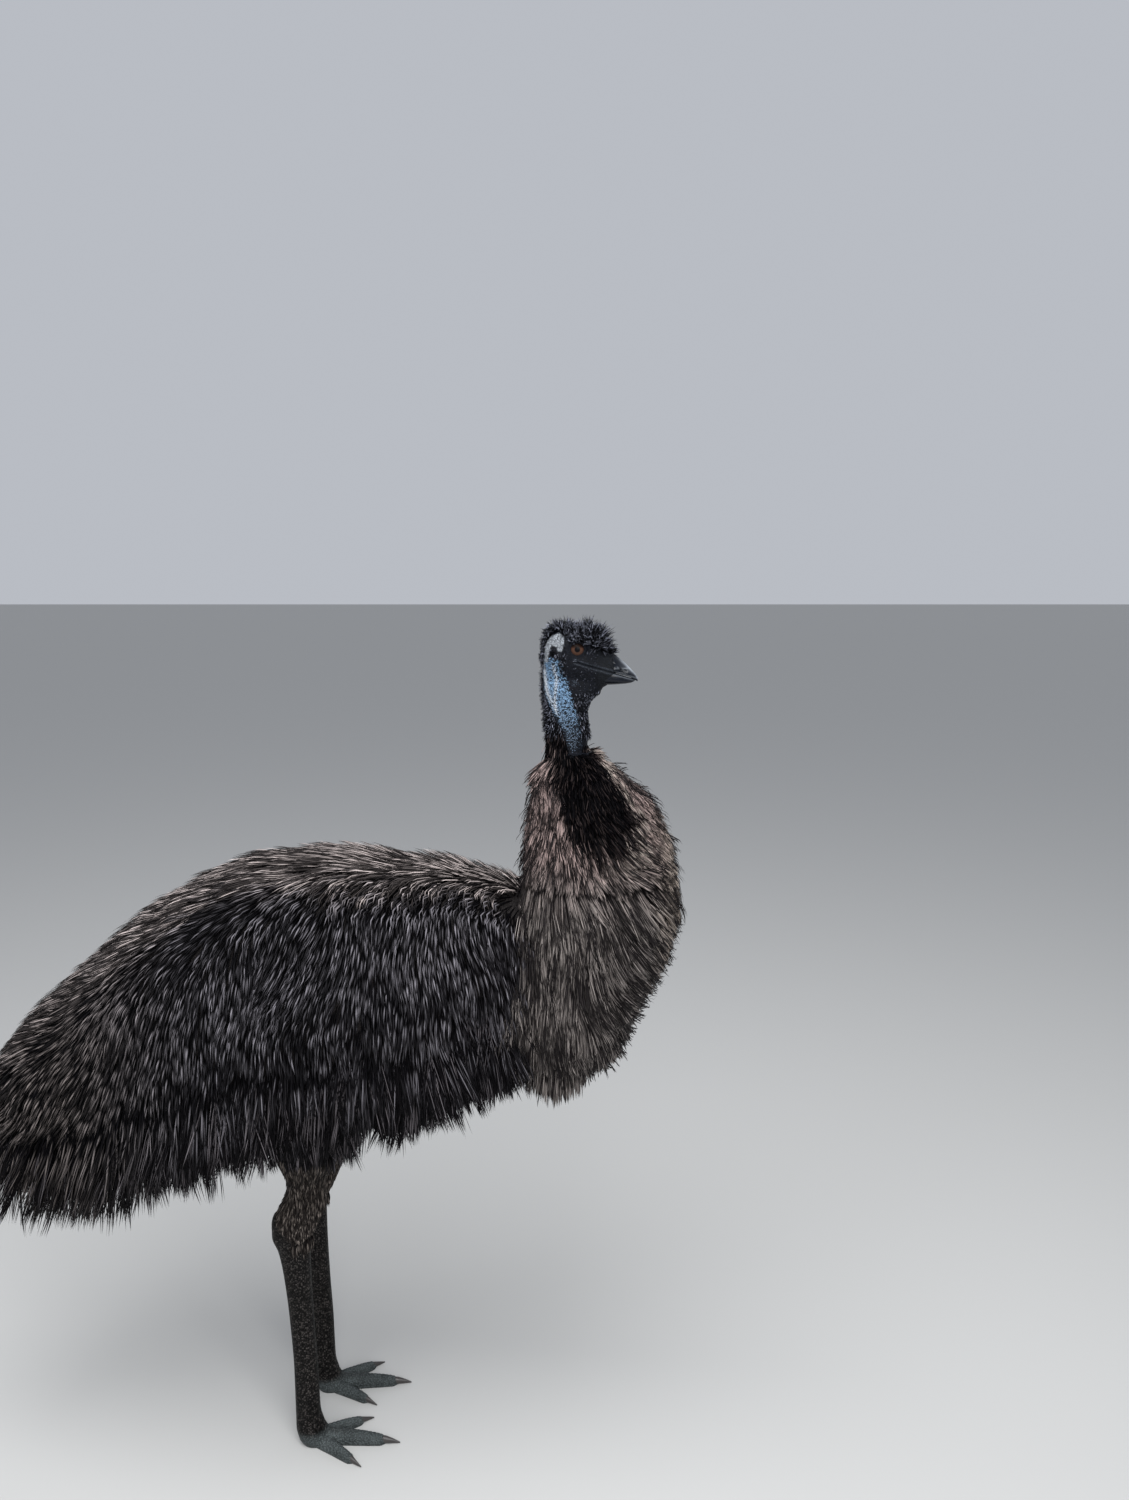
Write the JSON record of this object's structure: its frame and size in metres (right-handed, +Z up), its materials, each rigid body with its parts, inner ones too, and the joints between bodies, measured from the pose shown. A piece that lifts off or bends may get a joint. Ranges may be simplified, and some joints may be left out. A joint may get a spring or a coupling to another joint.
{
  "type": "emu",
  "caption": "Standing emu, life size and still, with shaggy drooping plumage, a bare blue neck, a bushy crest and long scaled legs with three-toed feet.",
  "frame": {"origin": "on the floor under the middle of the bird's own box", "axes": "+X is the way the bird faces, +Y is its left and +Z is up"},
  "size_m": [1.3408, 0.4178, 1.5503],
  "materials": {
    "plumage": "matte shaggy dark brown feathers with paler edges",
    "breast": "matte shaggy grey brown feathers, mottled",
    "hackle": "matte black hair-like feathers",
    "skin": "bare pebbled blue skin",
    "scales": "dark brown pebbled leg scales",
    "toes": "blue grey scutes",
    "horn": "satin black bill horn",
    "claw": "worn black claw horn",
    "eye": "wet glossy amber brown eye"
  },
  "bodies": {
    "root": {"bill_lower": "horn", "bill_upper": "horn", "breast": "breast", "claw_inner_left": "claw", "claw_inner_right": "claw", "claw_middle_left": "claw", "claw_middle_right": "claw", "claw_outer_left": "claw", "claw_outer_right": "claw", "eye_left": "eye", "eye_right": "eye", "head": "hackle", "neck_bare": "skin", "neck_hackle": "hackle", "shank_left": "scales", "shank_right": "scales", "tail_coat": "plumage", "thigh_left": "plumage", "thigh_right": "plumage", "toe_inner_left": "toes", "toe_inner_right": "toes", "toe_middle_left": "toes", "toe_middle_right": "toes", "toe_outer_left": "toes", "toe_outer_right": "toes", "torso": "plumage", "wing_left": "plumage", "wing_right": "plumage"}
  },
  "joints": []
}
